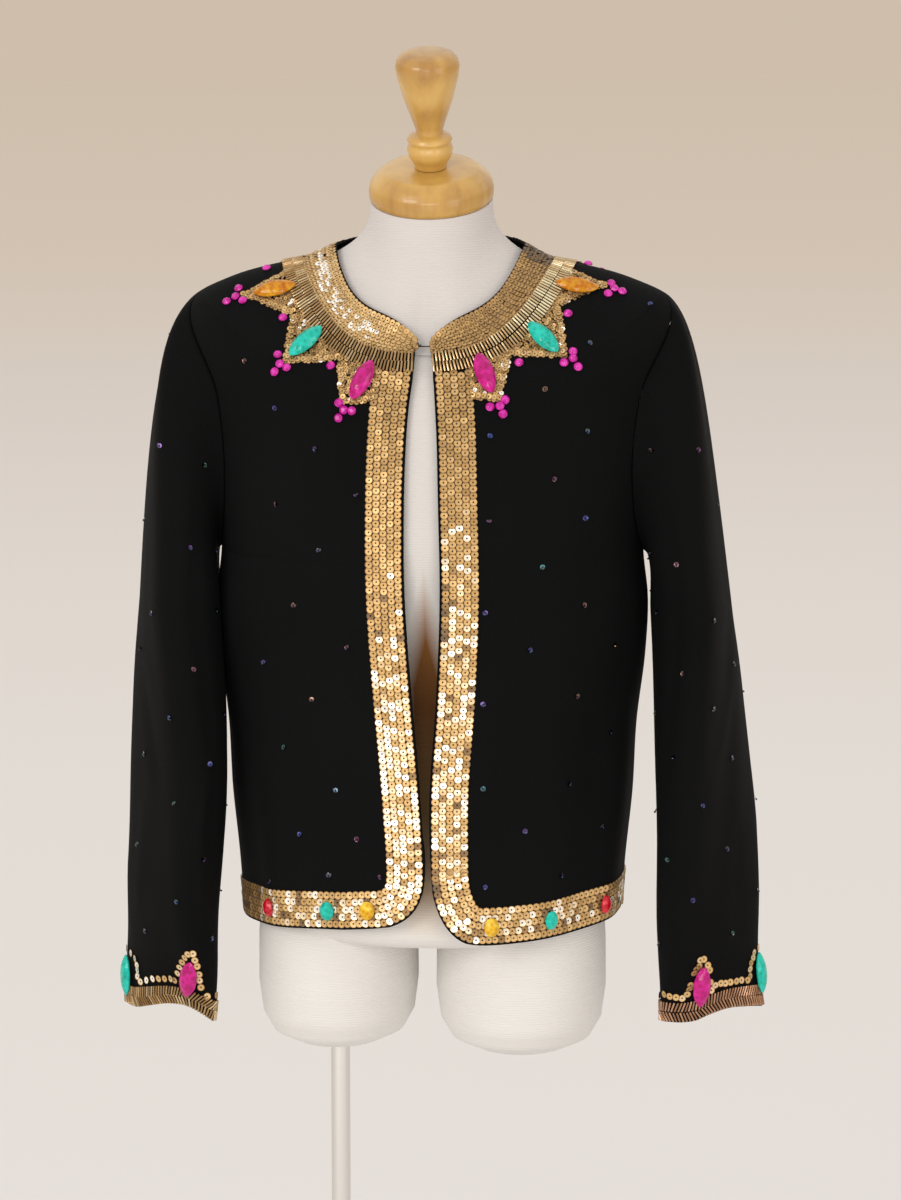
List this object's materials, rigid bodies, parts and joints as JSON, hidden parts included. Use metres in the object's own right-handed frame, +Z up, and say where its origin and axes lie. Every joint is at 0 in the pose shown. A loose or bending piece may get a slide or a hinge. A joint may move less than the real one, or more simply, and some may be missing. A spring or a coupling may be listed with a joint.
{
  "type": "cardigan sweater on a dress form",
  "caption": "Open long-sleeved knit cardigan with beaded edges, hooked at the neck, on a limbless dress form with a pole and a round foot.",
  "frame": {"origin": "middle of the underside of the dress form's round foot, on the floor", "axes": "+Z up along the body, -Y out of the cardigan's front, +X towards the wearer's left sleeve"},
  "size_m": [0.5521, 0.36, 1.5199],
  "materials": {
    "knit": "fine black knit, matte",
    "sequin": "metallic gold sequins",
    "bugle": "bronze-gold lined glass",
    "wire": "black enamel",
    "gem_amber": "cut and polished",
    "gem_teal": "cut and polished",
    "gem_magenta": "cut and polished",
    "gem_yellow": "cut and polished",
    "gem_red": "cut and polished",
    "canvas": "off-white jersey cover",
    "wood": "honey varnish, glossy",
    "chrome_tube": "polished",
    "steel_foot": "satin"
  },
  "bodies": {
    "root": {"back": "knit", "front_left": "knit", "front_right": "knit", "sleeve_left": "knit", "sleeve_right": "knit", "neck_sequin_band": "sequin", "front_band_left": "sequin", "front_band_right": "sequin", "hem_band_back": "sequin", "yoke_band": "bugle", "cuff_band_left": "bugle", "cuff_band_right": "bugle", "hook": "wire", "eye": "wire", "form": "canvas", "neck_cap": "wood", "finial": "wood", "pole": "chrome_tube", "base": "steel_foot", "yoke_gem_left_1": "gem_magenta", "yoke_gem_left_2": "gem_teal", "yoke_gem_left_3": "gem_amber", "yoke_gem_left_4": "gem_amber", "yoke_gem_left_5": "gem_teal", "yoke_gem_left_6": "gem_magenta", "cuff_gem_left_1": "gem_magenta", "cuff_gem_left_2": "gem_teal", "cuff_gem_left_3": "gem_amber", "yoke_gem_right_1": "gem_magenta", "yoke_gem_right_2": "gem_teal", "yoke_gem_right_3": "gem_amber", "yoke_gem_right_4": "gem_amber", "yoke_gem_right_5": "gem_teal", "yoke_gem_right_6": "gem_magenta", "cuff_gem_right_1": "gem_magenta", "cuff_gem_right_2": "gem_teal", "cuff_gem_right_3": "gem_amber", "hem_gem_front_1": "gem_red", "hem_gem_front_2": "gem_teal", "hem_gem_front_3": "gem_yellow", "hem_gem_front_4": "gem_yellow", "hem_gem_front_5": "gem_teal", "hem_gem_front_6": "gem_red", "hem_gem_back_1": "gem_red", "hem_gem_back_2": "gem_teal", "hem_gem_back_3": "gem_yellow", "hem_gem_back_4": "gem_yellow", "hem_gem_back_5": "gem_teal", "hem_gem_back_6": "gem_red"}
  },
  "joints": []
}
